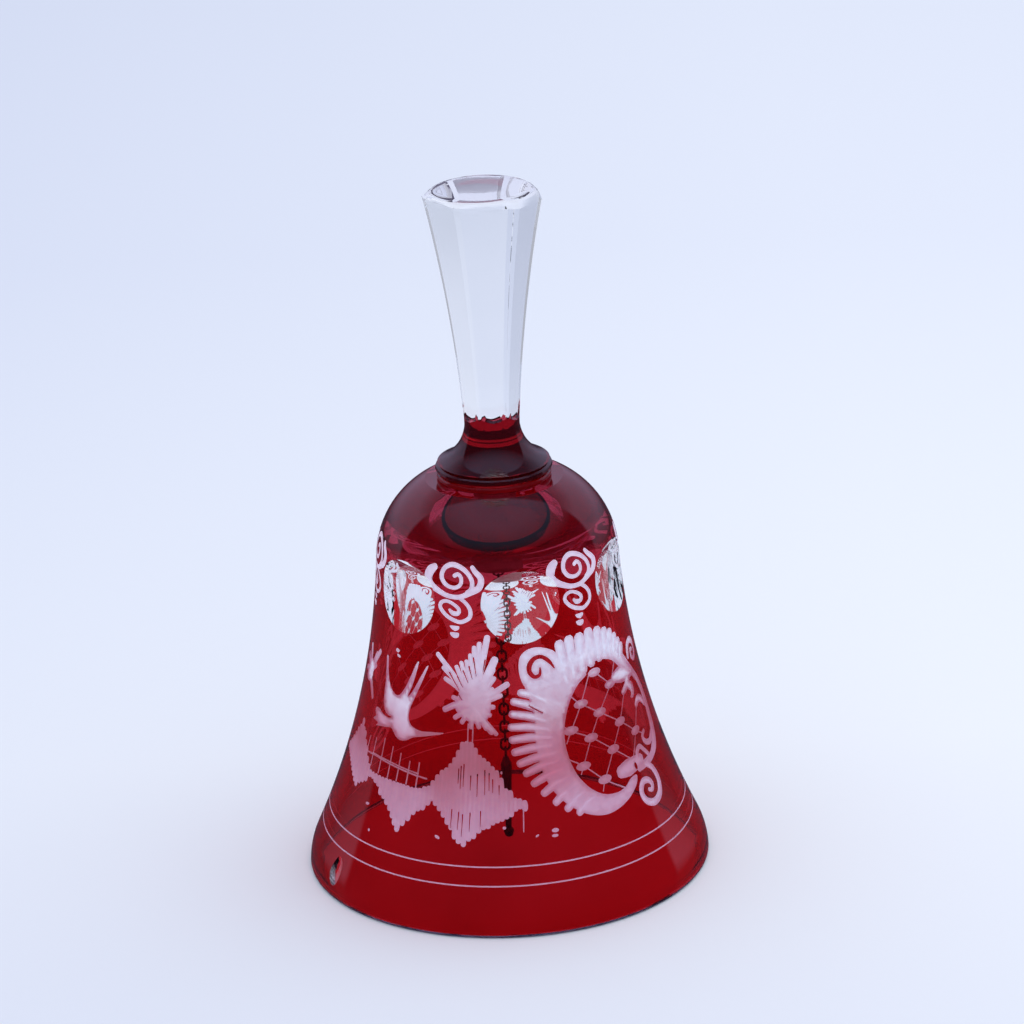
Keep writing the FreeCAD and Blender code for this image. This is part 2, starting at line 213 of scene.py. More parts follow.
def stroke(points, width=None, kind="frost", depth=0.2, gap=0.55):
    """A mark drawn along a path of (degrees, height, half width in mm)."""
    p = np.array(points, float)
    if width is not None:
        p = np.column_stack([p[:, :2], np.full(len(p), float(width))])
    p = curve(p, gap)
    p = np.column_stack([p[:, :2], np.maximum(p[:, 2], 0.05)])
    scale = np.column_stack([degree_mm(p[:, 1]), np.ones(len(p))])
    along = np.gradient(p[:, :2], axis=0) * scale
    along /= np.linalg.norm(along, axis=1)[:, None]
    left = np.column_stack([-along[:, 1], along[:, 0]])
    half = p[:, 2:3]

    def cap(index, sign):
        """Rounded end of the stroke, with fewer points where it is fine."""
        ahead, aside = sign * along[index], sign * left[index]
        return [p[index, :2] + half[index] * (math.cos(a) * ahead + math.sin(a) * aside) / scale[index]
                for a in (WIDE_END if half[index, 0] > 0.25 else FINE_END)]

    right_side = p[:, :2] - left * half / scale
    left_side = p[:, :2] + left * half / scale
    ring = np.vstack([right_side, cap(-1, 1), left_side[::-1], cap(0, -1)])
    inner = [p[:, :2]]
    if half.max() > 0.7:
        inner += [p[:, :2] + left * half * s / scale for s in (-0.5, 0.5)]
    return Cut(kind, ring, np.vstack(inner), depth, depth / max(half.max(), 0.1))


def fill(points, kind="frost", depth=0.3, smooth=True):
    """A filled shape with a smooth or straight-sided outline."""
    ring = curve(points, 0.6, True) if smooth else np.array(points, float)
    return Cut(kind, ring, (), depth, 0.35)


def oval(theta, z, across, up, tilt=0, kind="frost", depth=0.2):
    """An oval mark with its half width and half height in mm."""
    a = np.linspace(0, 2 * math.pi, 14, endpoint=False)
    t = math.radians(tilt)
    x, y = across * np.cos(a), up * np.sin(a)
    x, y = x * math.cos(t) - y * math.sin(t), x * math.sin(t) + y * math.cos(t)
    ring = np.column_stack([theta + x / degree_mm(z), z + y])
    return Cut(kind, ring, [(theta, z)], depth, depth / min(across, up))


def strips(columns, half):
    """Side by side upright wheel strokes of (degrees, top, bottom)."""
    return [
        stroke([(x, top - half, half), (x + 0.1, (top + low) / 2, half * 1.08), (x, low + half, half)],
               depth=0.16)
        for x, top, low in columns
    ]


# ------------------------ the engraved motifs
def spiral_motif():
    """Double scroll between two lens cuts, about its own middle."""
    cup = [
        (9, 1.6, .42), (10.2, .9, .5), (13.2, -.6, .62), (12.2, -2.4, .66), (8, -3.5, .6), (3, -4.5, .5),
        (-2.5, -4.5, .5), (-7.5, -3.7, .6), (-12, -2.5, .8), (-13.4, -1, .95), (-12.3, .3, .95),
        (-10.4, 1, .7)]
    coil = [
        (.4, -.2, .42), (2, .15, .4), (3.6, -.5, .4), (3.6, -1.7, .4), (1.6, -2.5, .4),
        (-1.4, -2.6, .42), (-4.6, -1.9, .45), (-6.2, -.5, .48), (-4.9, 1.1, .48), (-1.3, 1.9, .5),
        (3.2, 1.5, .48), (6.9, .4, .45), (9, -1.2, .45), (8.6, -2.7, .45), (6.6, -3.4, .4)]
    lower = [
        (3.2, -4.8, .4), (5.8, -5.7, .4), (7.8, -7.1, .42), (7.4, -8.7, .42), (3.8, -9.7, .42),
        (.9, -9.6, .42), (-3.6, -8.7, .42), (-6.8, -7.1, .42), (-6.1, -6, .4), (-3.4, -5.6, .36),
        (-.2, -6.1, .36), (2.4, -7.1, .4), (1.9, -8, .45), (-.6, -8, .5), (-2, -7.4, .3)]
    gouge = [(-11.6, -1.2, .07), (-10.4, -2, .07)]
    marks = []
    for path, kind, gap in ((cup, "frost", .45), (coil, "frost", .45), (lower, "frost", .45),
                            (gouge, "ruby", .55)):
        placed = [(x + SPIRAL_MIDDLE[0], z + SPIRAL_MIDDLE[1], half) for x, z, half in path]
        marks.append(stroke(placed, kind=kind, gap=gap))
    upper_bar = [(-23.6, 61.3), (-21, 61.4), (-19, 61.3), (-19.3, 60.7), (-21, 60.3), (-23, 60.8)]
    lower_bar = [(-23.4, 59.9), (-21, 60), (-19.2, 59.9), (-19.4, 59.1), (-21, 58.8), (-22.8, 59.2)]
    return marks + [fill(upper_bar), fill(lower_bar)]


def swallow():
    """A swallow in flight, one filled outline."""
    return [fill([
        (-25, 39.1), (-30, 38.3), (-35, 37.6), (-39, 37), (-42, 36.1), (-45, 35.7), (-48, 36.1),
        (-50, 37), (-51.5, 37.4), (-55, 37), (-59, 36.6), (-61.6, 36.3), (-60.6, 37), (-64.6, 37.3),
        (-62.8, 38.1), (-64, 38.9), (-63.6, 39.8), (-61, 39.9), (-58, 39.3), (-54, 39.1), (-52, 39.5),
        (-54.5, 39.6), (-57.2, 40.3), (-58.8, 42), (-59.2, 44.2), (-59.4, 46.5), (-60, 49),
        (-60.4, 51.2), (-59.1, 51.2), (-58.3, 49), (-57, 46.9), (-54.5, 45.2), (-51, 44.3),
        (-48.3, 44.8), (-45.5, 46.8), (-42.8, 49.5), (-40.6, 51.9), (-39.1, 52.6), (-40.3, 50),
        (-42, 47.2), (-43.9, 44.9), (-41.5, 46.2), (-38, 49.3), (-34.8, 52), (-33.8, 52.3), (-36.5, 49),
        (-39.5, 45.6), (-41.8, 42.8), (-42.3, 41), (-41.3, 39.7), (-39, 39), (-35, 38.7), (-30, 39),
    ])]


def fence():
    """Rail fence in front of the trees."""
    marks = [
        stroke([(-66, 30.3), (-58, 30.6), (-50, 30.4), (-42, 30.1), (-36, 29.8), (-30.8, 29.6)], .17),
        stroke([(-60, 30.8), (-50, 30.8), (-42, 30.5), (-34.6, 30.2)], .15),
    ]
    posts = [
        (-64.4, 33.6, 31), (-59.8, 34, 28.2), (-54.2, 34.8, 27.6), (-48.8, 33.9, 27.6),
        (-44.1, 33.2, 27.6), (-39.3, 32.2, 27.6), (-34.9, 32.4, 27.4)]
    marks += [stroke([(x + .3, top), (x - .1, low)], .15) for x, top, low in posts]
    return marks


def ground():
    """Banks of earth and a bush, built from upright wheel strokes."""
    bank = [
        (-59, 27.2, 26.2), (-57, 27.4, 25.9), (-55, 27.4, 25.4), (-53, 27.4, 25), (-51, 27.4, 23.6),
        (-49, 27.5, 23.2), (-47, 27.5, 22.3), (-45, 27.5, 21.4), (-43.2, 27.5, 20.2), (-41.7, 27.5, 19),
        (-40.2, 27.5, 18), (-38.4, 27.5, 19.4), (-36.5, 27.4, 20.6), (-34.7, 27.5, 22),
        (-33, 27.6, 22.9), (-31.2, 28.1, 23.3), (-29.4, 28.4, 24.4)]
    bush = [
        (-61, 28.4, 24.6), (-63, 29.6, 24), (-65, 31.4, 23.4), (-67, 32.3, 22.4), (-69, 33.8, 22.9),
        (-71, 34.3, 23.6), (-73, 35.7, 24.3), (-75, 34, 24.9), (-77, 33, 25.4), (-79, 31.6, 25.9),
        (-81, 30.4, 26.2), (-83, 29.2, 26.5), (-85, 28.2, 26.6)]
    return strips(bank, .66) + strips(bush, .68)


def shrub():
    """A leafy sprig at the edge of the scene."""
    tips = [(-67, 51), (-70, 50), (-78.5, 50.5), (-82, 48), (-82.5, 45), (-70, 47.5), (-69, 41)]
    marks = [stroke([(-76, 44.5, .8), ((x - 76) / 2, (z + 45.5) / 2, .7), (x, z, .55)], depth=.18)
             for x, z in tips]
    marks.append(fill([(-80, 43.5), (-80, 46), (-77, 48), (-74, 47.5), (-72.5, 45), (-75, 43.2)]))
    return marks


def maple_leaf():
    """A big leaf of wheel strokes fanning out of one point, on a double stem."""
    fan = [
        (-29.2, 55, .5), (-26.2, 52.4, .5), (-25.2, 50.2, .5), (-20.2, 52.9, .45), (-18, 53.8, .45),
        (-15.7, 54.2, .42), (-14, 55.5, .42), (-12.2, 57.1, .45), (-9.8, 57.9, .5), (-6.2, 59.2, .62),
        (-3.2, 54.6, .75), (-4.2, 52.6, .6), (-3.8, 50.8, .5), (-4.6, 48.6, .5), (1.7, 49.5, .6),
        (-1.2, 47.3, .5), (-4.4, 45, .5), (-6, 43.4, .5), (-21.4, 46.6, .5), (-21.3, 44.9, .5),
        (-25, 44, .6), (-20.4, 42.6, .5), (-17.4, 41.8, .5), (-13.6, 40.9, .5), (-10.4, 41, .5),
        (-7.4, 40.7, .5), (-5.3, 40, .6), (-3.5, 39.6, .45)]
    heart = (-13, 45.2)
    marks = []
    for x, z, half in fan:
        bend = .8 if x < -24 else 0
        middle = ((heart[0] + x) / 2, (heart[1] + z) / 2 + bend, half * 1.1)
        marks.append(stroke([(*heart, half), middle, (x, z, half)], depth=.18))
    marks.append(fill([(-20.5, 44.5), (-19, 47.5), (-15.5, 49.6), (-11, 50.3), (-7, 50), (-5.5, 47.5),
                       (-5.6, 44), (-8, 42), (-12, 41.6), (-17, 42.6)], depth=.16))
    marks += [stroke([(-14.8, 41.5), (-14.9, 37.5)], .13), stroke([(-12.8, 41.8), (-13, 37.2)], .13)]
    slits = [
        (-23.5, 51.6, -19, 48.2), (-19.8, 51, -17.4, 48.8), (-17.2, 52.2, -15, 49.8),
        (-14.6, 53.2, -13.2, 50.6), (-12.6, 55, -11.4, 51.2), (-7.4, 54.6, -8.4, 52.2),
        (-21, 48.4, -17.6, 46.2)]
    marks += [stroke([(a, b, .16), (c, d, .05)], kind="ruby") for a, b, c, d in slits]
    return marks


def fir_tree():
    """A diamond-shaped tree of upright strokes with slits of ruby between some of them."""
    columns = [
        (-28, 29.6, 25.4), (-26.3, 30.9, 24.6), (-24.6, 31.9, 23.7), (-22.9, 32.5, 22.6),
        (-21.3, 33.4, 21.3), (-19.8, 34.7, 20.4), (-18.4, 36.2, 18.7), (-16.9, 37.9, 17.9),
        (-15.2, 38.1, 17.4), (-13.5, 38, 18.5), (-11.9, 36.9, 19), (-10.2, 35.5, 20.1),
        (-8.6, 34.9, 20.8), (-7, 34.2, 21), (-5.4, 33.3, 21.7), (-3.8, 32.5, 22.1), (-2.2, 31, 22.4),
        (-.6, 28.9, 22.8), (1, 28.5, 23.2), (2.6, 27, 24.2), (4.2, 26.8, 24.6), (5.9, 26.4, 24.1)]
    slits = [
        (-19.9, 24.4, 20.8), (-18.1, 32.4, 29.6), (-17.2, 33, 28.6), (-16.1, 33.4, 29),
        (-17.4, 24, 20.6), (-15.9, 23.6, 19.4), (-13.3, 24, 20.4), (-10.9, 31.6, 27.2),
        (-9.6, 24.4, 21.4), (-8.1, 32.4, 27.6), (-6.5, 31.8, 28.4), (-5.2, 30.6, 28),
        (-13.4, 31.2, 28.4), (-2.9, 29.4, 27.6)]
    marks = strips(columns, .56)
    marks += [stroke([(x, top, .12), (x - .1, low, .05)], kind="ruby") for x, top, low in slits]
    marks.append(stroke([(5.3, 24.2), (4.9, 20.3)], .12))
    return marks


def lattice():
    """Diagonal trellis with oval beads at its crossings, inside the cartouche."""
    falling = [[(29.4, 45), (33.5, 43.1), (42.1, 40.2), (52.2, 36.6), (60.6, 33.1), (65, 31.6)],
               [(23.4, 39.9), (27.1, 38.3), (35.6, 35.9), (45, 32.1), (52.6, 28.8)],
               [(21, 33.9), (30, 30.9), (37.9, 27), (46, 24)],
               [(44.5, 47.8), (51.2, 44.7)]]
    rising = [[(24.5, 36), (27.1, 38.3), (33.5, 43.1), (39.5, 48.2)],
              [(28.4, 29.4), (30, 30.9), (35.6, 35.9), (42.1, 40.2), (51.2, 44.7), (56.8, 48.6)],
              [(36, 25), (37.9, 27), (45, 32.1), (52.2, 36.6), (60, 42)],
              [(54.5, 28.6), (60.6, 33.1), (66.5, 37.5)]]
    beads = [
        (33.5, 43.1), (27.1, 38.4), (42.1, 40.2), (35.6, 35.9), (52.2, 36.6), (30, 30.9), (45, 32.1),
        (37.9, 27.1), (60.6, 33.1), (43, 48.4), (51.2, 44.7)]
    marks = [stroke(line, .14) for line in falling] + [stroke(line, .12) for line in rising]
    return marks + [oval(x, z, 1.75, .88) for x, z in beads]


def left_scroll():
    """Feathered C-scroll with a curl at its top."""
    feathers = [
        (7.4, 47.6, 17.5, 45.4), (4.2, 45.9, 16.5, 43.3), (3.3, 43.4, 17, 41.3), (2.6, 40.8, 17.5, 39.6),
        (2.8, 38.3, 18, 37.9), (3.5, 35.8, 17.8, 36.2), (5.3, 33.5, 18.5, 34.6), (7.4, 31.5, 19.5, 33),
        (10, 29.4, 21, 31.3), (13.3, 27.3, 23, 29.6), (17.2, 25.2, 25.5, 27.8), (21.1, 23.6, 28.5, 26),
        (25.2, 22.4, 32, 24.4)]
    marks = []
    for x, z, x2, z2 in feathers:
        middle = ((x + x2) / 2, (z + z2) / 2 + .35, .92)
        marks.append(stroke([(x, z, .78), middle, (x2, z2, .8)], depth=.3))
    body = [
        (47, 21.9), (41, 20.8), (35, 20.5), (29, 21.4), (24, 23.1), (19, 25.7), (15, 29.2), (12.6, 33.5),
        (11.8, 38), (12.2, 42), (11.2, 45.2), (9.6, 48.2), (7.8, 50.2), (7.1, 52.6), (8, 54.9),
        (11.2, 56.2), (15.6, 56.5), (20, 56), (24.3, 54.8), (28, 52), (34, 50), (38.5, 48.7),
        (33.6, 47.2), (29.5, 45), (26.6, 42.5), (24.6, 39.5), (23.9, 36.5), (24.5, 33.3), (26.2, 30.3),
        (28.7, 27.9), (32.2, 25.8), (36.7, 24.3), (42, 23.8), (46.5, 24.2), (50, 25.2), (53.5, 25.2),
        (52, 23.6)]
    marks.append(fill(body, depth=.22))
    hook = [
        (23.2, 51.6, .12), (21, 53.2, .4), (17.6, 54.4, .42), (14.2, 54.2, .48), (12, 53, .55),
        (11.8, 51.6, .5), (13.8, 50.5, .42), (16.2, 50.8, .35), (16.6, 52.2, .14)]
    marks.append(stroke(hook, kind="ruby", gap=.4))
    marks.append(stroke([(16, 43, .05), (12, 44.3, .1), (10.5, 44.8, .05)], kind="ruby"))
    return marks


def shell_arch():
    """Scalloped arch over the cartouche's opening."""
    lobes = [
        (26.6, 56.1, 28.5, 48.5, 1.1), (31.6, 56.5, 32.5, 49, 1.15), (37.2, 56.3, 37.2, 49.8, 1.3),
        (42.8, 56.7, 42.2, 50.6, 1.25), (48.3, 56.2, 47.4, 51, 1.25), (53, 55.5, 51.8, 50.8, 1.1),
        (57, 54.7, 55.2, 50.4, 1), (60.3, 53.3, 58.2, 49.8, .95), (62.9, 51.9, 60.6, 49, .9),
        (65, 50.5, 62.6, 48.2, .85)]
    marks = [stroke([(x, z, half), (x2, z2, half * .85)], depth=.32) for x, z, x2, z2, half in lobes]
    rib = [
        (25, 51.4, 1.9), (31, 51.6, 2.2), (37, 52.2, 2.3), (43, 52.8, 2.3), (50, 52.5, 2.3),
        (57, 51, 2.1), (62.5, 47.9, 1.6), (67, 45.6, 1.2), (71.5, 43.3, .9), (75, 40.8, .9),
        (77, 37.5, 1.1), (77, 34, 1.2), (75.4, 30.6, 1.3), (72, 28, 1.1), (67, 26.6, .8), (62, 26.2, .8),
        (56, 26, .7)]
    marks.append(stroke(rib, depth=.26))
    return marks


def right_scrolls():
    """Leaves and curls on the right and below the cartouche."""
    return [
        stroke([(54.6, 45.4, 1.1), (59, 45.3, 1.7), (64, 44.8, 1.5), (68, 44, .8)], depth=.3),
        stroke([(58.6, 41.6, .6), (61.5, 42.2, .8), (65, 43.4, .8)], depth=.25),
        stroke([(63.5, 42.4, .9), (66.2, 41.4, 1), (66, 39.9, .7), (64.2, 39.6, .3)], depth=.25),
        stroke([(66.4, 37.4, .6), (69, 38.1, .8), (72, 37.7, .8), (75, 36.2, .8)], depth=.25),
        stroke([(66.4, 31.8, .45), (64.2, 31, .5), (65.3, 29.7, .6), (69, 29.1, .6), (73, 30.2, .6)]),
        stroke([(56.5, 27.4, .6), (57.6, 29.2, .6), (60, 29.8, .55), (62, 28.8, .5), (64.5, 27.2, .5)]),
        stroke([(46, 27.2, 1.3), (50, 27.3, 1.7), (54, 27.4, 1.5), (58, 27.4, 1.3)], depth=.3),
        oval(54.6, 26.8, .45, .75, kind="ruby"),
        stroke([(60.5, 26, .6), (64, 24.4, .7), (65.4, 21.8, .8), (63.4, 19.4, .8), (58.6, 18.5, .75),
                (54.4, 19.6, .75), (53.2, 21.6, .72), (55.4, 23.2, .7), (58.6, 23, .66),
                (60.4, 21.9, .6), (59.4, 20.9, .5), (57.6, 21.2, .4)], depth=.28, gap=.45),
        stroke([(70, 47.2, .6), (71.5, 49.2, .7), (75.5, 49.8, .7), (79.4, 48.8, .7), (80, 46.8, .6),
                (77, 45.6, .5), (74, 46.4, .5), (74.6, 47.8, .5), (76.8, 47.6, .4)]),
    ]


def specks():
    """Small dots and nicks that the wheel left."""
    dots = [
        (-25, 31.1, .36, .36, 0), (-52.6, 53.4, .6, .4, 0), (-51.6, 52.4, .6, .3, -15),
        (-24.4, 18.8, .6, .3, -25), (-52.3, 16.4, .3, .28, 0), (-1.5, 21.2, .36, .3, 0),
        (-1.9, 31.9, .2, .3, 0), (15.6, 19.9, .75, .42, 0), (15.3, 18.9, .7, .3, 0),
        (9.3, 19.3, .4, .2, 30), (-56.4, 21, .6, .28, 10)]
    return [oval(*dot[:4], tilt=dot[4], depth=.1) for dot in dots]


def frieze():
    """Everything that is engraved once on each side of the bell."""
    marks = [mark.moved(shift) for shift in (0, 60, 120) for mark in spiral_motif()]
    for motif in (swallow, fence, ground, shrub, maple_leaf, fir_tree, lattice, left_scroll,
                  shell_arch, right_scrolls, specks):
        marks += motif()
    return marks


def ring_bands():
    """The two fine rings, as long flat outlines right across the domain."""
    x = np.arange(DOMAIN_START - 3, DOMAIN_START + 183.1, COLUMN_STEP)
    bands = []
    for z in RING_HEIGHTS:
        low, high = (np.column_stack([x, np.full(len(x), z + s * RING_HALF)]) for s in (-1, 1))
        middle = np.column_stack([x, np.full(len(x), z)])
        bands.append(Cut("frost", np.vstack([low, high[::-1]]), middle, 0.14, 1.0))
    return bands


def rim_chip():
    """Shell-shaped chip in the lip, on the front only."""
    return [Cut("chip", curve([(-65.4, 5.4), (-63.6, 3.0), (-61.0, 3.4), (-59.6, 5.8), (-60.6, 8.2),
                               (-63.4, 8.6)], 0.5, True), [(-62.4, 5.8)], 0.7, 0.5)]


# ------------------------ meshing the cup
def inside(points, ring):
    """Which points lie in a closed ring."""
    a, b = ring, np.roll(ring, -1, 0)
    x, y = points[:, :1], points[:, 1:]
    crosses = (a[:, 1] > y) != (b[:, 1] > y)
    rise = np.where(b[:, 1] == a[:, 1], 1e-12, b[:, 1] - a[:, 1])
    at = a[:, 0] + (y - a[:, 1]) * (b[:, 0] - a[:, 0]) / rise
    return (crosses & (x < at)).sum(1) % 2 == 1


def edge_distance(points, ring):
    """Distance in mm from each point to a ring."""
    scale = np.array([float(degree_mm(ring[:, 1].mean())), 1.0])
    a, b = ring * scale, np.roll(ring, -1, 0) * scale
    p = points[:, None, :] * scale
    along = b - a
    t = np.clip(((p - a) * along).sum(-1) / np.maximum((along**2).sum(-1), 1e-12), 0, 1)
    return np.linalg.norm(p - a - t[..., None] * along, axis=-1).min(1)


def engraved_depth(points, cuts):
    """How far below the skin each point of the domain lies."""
    depth = np.zeros(len(points))
    for ruby in (False, True):
        for cut in cuts:
            if (cut.kind == "ruby") != ruby:
                continue
            low, high = cut.ring.min(0) - 1e-4, cut.ring.max(0) + 1e-4
            near = np.flatnonzero(((points >= low) & (points <= high)).all(1))
            if not len(near):
                continue
            gap = edge_distance(points[near], cut.ring)
            within = inside(points[near], cut.ring)
            if ruby:
                depth[near[within | (gap < 0.02)]] *= 0.3
                continue
            reach = np.clip(gap * cut.slope / cut.depth, 0, 1)
            own = np.where(within, cut.depth * reach * (2 - reach), 0)
            depth[near] = np.maximum(depth[near], own)
    return depth


def engraved_half(extra):
    """One half of the decorated skin: flat points, triangles and the kind of each triangle."""
    start, end = DOMAIN_START, DOMAIN_START + 180
    cuts = [
        mark.moved(shift)
        for mark in frieze() + extra
        for shift in ((0,) if mark in extra else (-180, 0, 180))
        if mark.ring[:, 0].max() + shift > start and mark.ring[:, 0].min() + shift < end
    ]
    cuts += ring_bands()
    windows = [Cut("window", window_ring(turn)) for turn in (-110, -50, 10, 70, 130)]
    cuts += [w for w in windows if w.ring[:, 0].max() > start and w.ring[:, 0].min() < end]

    columns = np.arange(start, end + 0.01, COLUMN_STEP)
    rows = np.linspace(BAND_LOW, BAND_HIGH, round((BAND_HIGH - BAND_LOW) / ROW_STEP) + 1)
    points = [np.array([(x, z) for z in rows for x in columns])]
    outlines = []
    count = len(points[0])
    for cut in cuts:
        kept = cut.inner[(cut.inner[:, 0] > start) & (cut.inner[:, 0] < end)]
        points += [cut.ring, kept]
        outlines.append(list(range(count, count + len(cut.ring))))
        count += len(cut.ring) + len(kept)
    width = len(columns)
    edges = [(k * width + side, (k + 1) * width + side)
             for k in range(len(rows) - 1) for side in (0, width - 1)]
    scaled = [Vector((x * DOMAIN_SCALE, z)) for x, z in np.vstack(points)]
    made, _, triangles, _, _, owners = delaunay_2d_cdt(scaled, edges, outlines, 0, 1e-6, True)
    flat = np.array([(v.x / DOMAIN_SCALE, v.y) for v in made])
    kinds, kept = [], []
    for triangle, above in zip(triangles, owners):
        if start < flat[list(triangle), 0].mean() < end:
            found = {cuts[k].kind for k in above}
            kinds.append(next((k for k in ("window", "chip", "ruby", "frost") if k in found), "skin"))
            kept.append(list(triangle))
    used, triangles = np.unique(np.array(kept), return_inverse=True)
    flat = flat[used]
    return flat, triangles.reshape(-1, 3), kinds, engraved_depth(flat, cuts)


def new_mesh(name, points, faces, kinds, slots):
    """Mesh from points in mm; slots maps each kind of face to its material."""
    data = bpy.data.meshes.new(name)
    data.from_pydata([tuple(p * MM) for p in points], [], faces)
    for material in slots.values():
        data.materials.append(material)
    order = list(slots)
    data.polygons.foreach_set("material_index", [order.index(k) for k in kinds])
    data.update()
    return data


class Shell:
    """Collects points, faces, face kinds and corner normals, then makes one closed mesh."""

    def __init__(self):
        self.points, self.faces, self.kinds, self.normals, self.relief = [], [], [], [], []
        self.count = 0

    def add(self, points, normals, faces, kinds, relief=0.0):
        """normals holds one direction for each point; faces index points."""
        for face, kind in zip(faces, kinds):
            self.faces.append([k + self.count for k in face])
            self.kinds.append(kind)
            self.normals.append(normals[list(face)])
        self.points.append(points)
        self.relief.append(np.zeros(len(points)) + relief)
        self.count += len(points)

    def welded(self, where):
        """Faces after points in the same place become one; quads may turn into triangles."""
        faces, kinds, normals = [], [], []
        for face, kind, corner in zip(self.faces, self.kinds, self.normals):
            new = [int(where[k]) for k in face]
            keep = [i for i, k in enumerate(new) if new.index(k) == i]
            if len(keep) >= 3:
                faces.append([new[i] for i in keep])
                kinds.append(kind)
                normals.append(corner[keep])
        return faces, kinds, normals

    def mesh(self, name, slots):
        """Kinds in ROUGH get normals from the mesh, the others keep the exact ones."""
        points = np.vstack(self.points)
        _, first, where = np.unique(np.round(points * 1e4).astype(np.int64), axis=0,
                                    return_index=True, return_inverse=True)
        faces, kinds, normals = self.welded(where.ravel())
        data = new_mesh(name, points[first], faces, kinds, slots)
        data.polygons.foreach_set("use_smooth", [True] * len(faces))
        flat = np.zeros(len(faces) * 3)
        data.polygons.foreach_get("normal", flat)
        areas = np.zeros(len(faces))
        data.polygons.foreach_get("area", areas)
        weighted = flat.reshape(-1, 3) * areas[:, None]
        rough = {}
        for face, kind, push in zip(faces, kinds, weighted):
            if kind in ROUGH:
                for k in face:
                    rough[k] = rough.get(k, 0) + push
        corners = []
        for face, kind, corner in zip(faces, kinds, normals):
            for direction, k in zip(corner, face):
                direction = rough[k] if kind in ROUGH else direction
                corners.append(direction / max(np.linalg.norm(direction), 1e-12))
        data.normals_split_custom_set(np.array(corners))
        layer = data.attributes.new("cut_depth", "FLOAT", "POINT")
        layer.data.foreach_set("value", np.concatenate(self.relief)[first])
        return data


ROUGH = ("frost", "chip")


def decorated_skin(shell):
    """Both halves of the decorated band."""
    for turn, extra in ((0, rim_chip()), (180, [])):
        flat, triangles, kinds, depth = engraved_half(extra)
        theta, z = flat[:, 0] + turn, flat[:, 1]
        radial, up = outer_normal(z).T
        position = turned(theta, outer_radius(z) - depth * radial, z - depth * up)
        normal = turned(theta, radial, up)
        cut_normal = normal.copy()
        for middle in WINDOW_TURNS:
            offset = (theta - middle + 180) % 360 - 180
            near = (np.abs(offset) < WINDOW_REACH[0]) & (np.abs(z - WINDOW_Z) < WINDOW_REACH[1])
            radius = wheel_radius_at(np.where(near, offset, 0), z)
            hit = near & (radius < outer_radius(z) + 1e-3)
            position[hit] = turned(theta[hit], radius[hit], z[hit])
            inward = (WHEEL_OUT - radius * np.cos(np.radians(offset))) / WHEEL
            upward = (WHEEL_UP - z) / WHEEL
            cut_normal[hit] = turned(np.full(hit.sum(), float(middle)), inward[hit], upward[hit])
        in_window = np.array([k == "window" for k in kinds])
        other_kinds = [k for k in kinds if k != "window"]
        shell.add(position, normal, triangles[~in_window], other_kinds, depth / RELIEF_FULL)
        shell.add(position, cut_normal, triangles[in_window], ["window"] * int(in_window.sum()))


def quads(rows, n):
    """Faces between closed rows of n points each."""
    pairs = [(k * n, c, (c + 1) % n) for k in range(rows - 1) for c in range(n)]
    return [(low + c, low + d, low + n + d, low + n + c) for low, c, d in pairs]


def lathe(shell, rows, kind):
    """Rows of (radius, height, normal's radial part, normal's upward part), outside seen
    with the rows going up; a radius of 0 closes the surface on the axis."""
    columns = np.arange(DOMAIN_START, DOMAIN_START + 360, COLUMN_STEP)
    one = np.ones(len(columns))
    points = np.vstack([turned(columns, r * one, z * one) for r, z, _, _ in rows])
    normals = np.vstack([turned(columns, a * one, b * one) for _, _, a, b in rows])
    faces = quads(len(rows), len(columns))
    shell.add(points, normals, faces, [kind] * len(faces))


def arc_rows(centre, radius, first, last, count, outward=1):
    """Lathe rows along an arc in the (radius, height) plane, between two angles."""
    rows = []
    for a in np.radians(np.linspace(first, last, count)):
        c, s = math.cos(a), math.sin(a)
        rows.append((centre[0] + radius * c, centre[1] + radius * s, outward * c, outward * s))
    return rows


def angle_of(point, centre):
    return math.degrees(math.atan2(point[1] - centre[1], point[0] - centre[0]))


